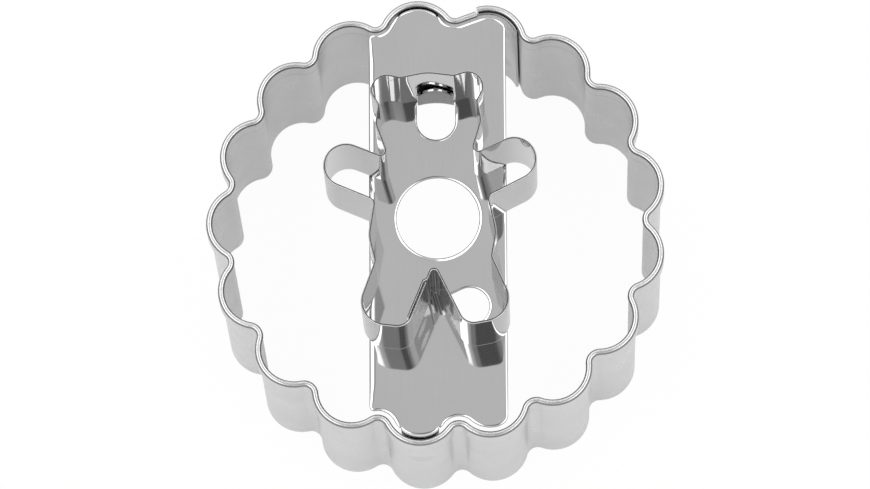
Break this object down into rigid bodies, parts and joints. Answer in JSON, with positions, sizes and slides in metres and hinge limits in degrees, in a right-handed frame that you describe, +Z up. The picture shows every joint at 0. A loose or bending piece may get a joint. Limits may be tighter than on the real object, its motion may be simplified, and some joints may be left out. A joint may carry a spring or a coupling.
{
  "type": "linzer cookie cutter",
  "caption": "Linzer cookie cutter: a scalloped sheet-steel ring with a rolled rim, bridged by a plate that carries a small teddy-bear outline for cutting the window in the top cookie.",
  "frame": {"origin": "middle of the footprint, on the surface that the ring's cutting edge stands on", "axes": "+Z up from the ring's cutting edge to the bear, +Y along the bridge plate to the bear's head, +X to the right of the bear as seen from above"},
  "size_m": [0.0504, 0.0504, 0.033],
  "materials": {
    "ring_steel": "polished sheet",
    "plate_steel": "polished sheet",
    "bear_steel": "polished sheet",
    "weld_steel": "fused metal"
  },
  "bodies": {
    "root": {"scalloped_ring": "ring_steel", "bridge_plate": "plate_steel", "bear_cutter": "bear_steel", "ring_seam_weld_upper": "weld_steel", "ring_seam_weld_lower": "weld_steel", "rear_tab_weld": "weld_steel", "front_tab_weld": "weld_steel", "head_tab_weld": "weld_steel", "leg_tab_weld": "weld_steel", "bear_seam_weld_upper": "weld_steel", "bear_seam_weld_lower": "weld_steel"}
  },
  "joints": []
}
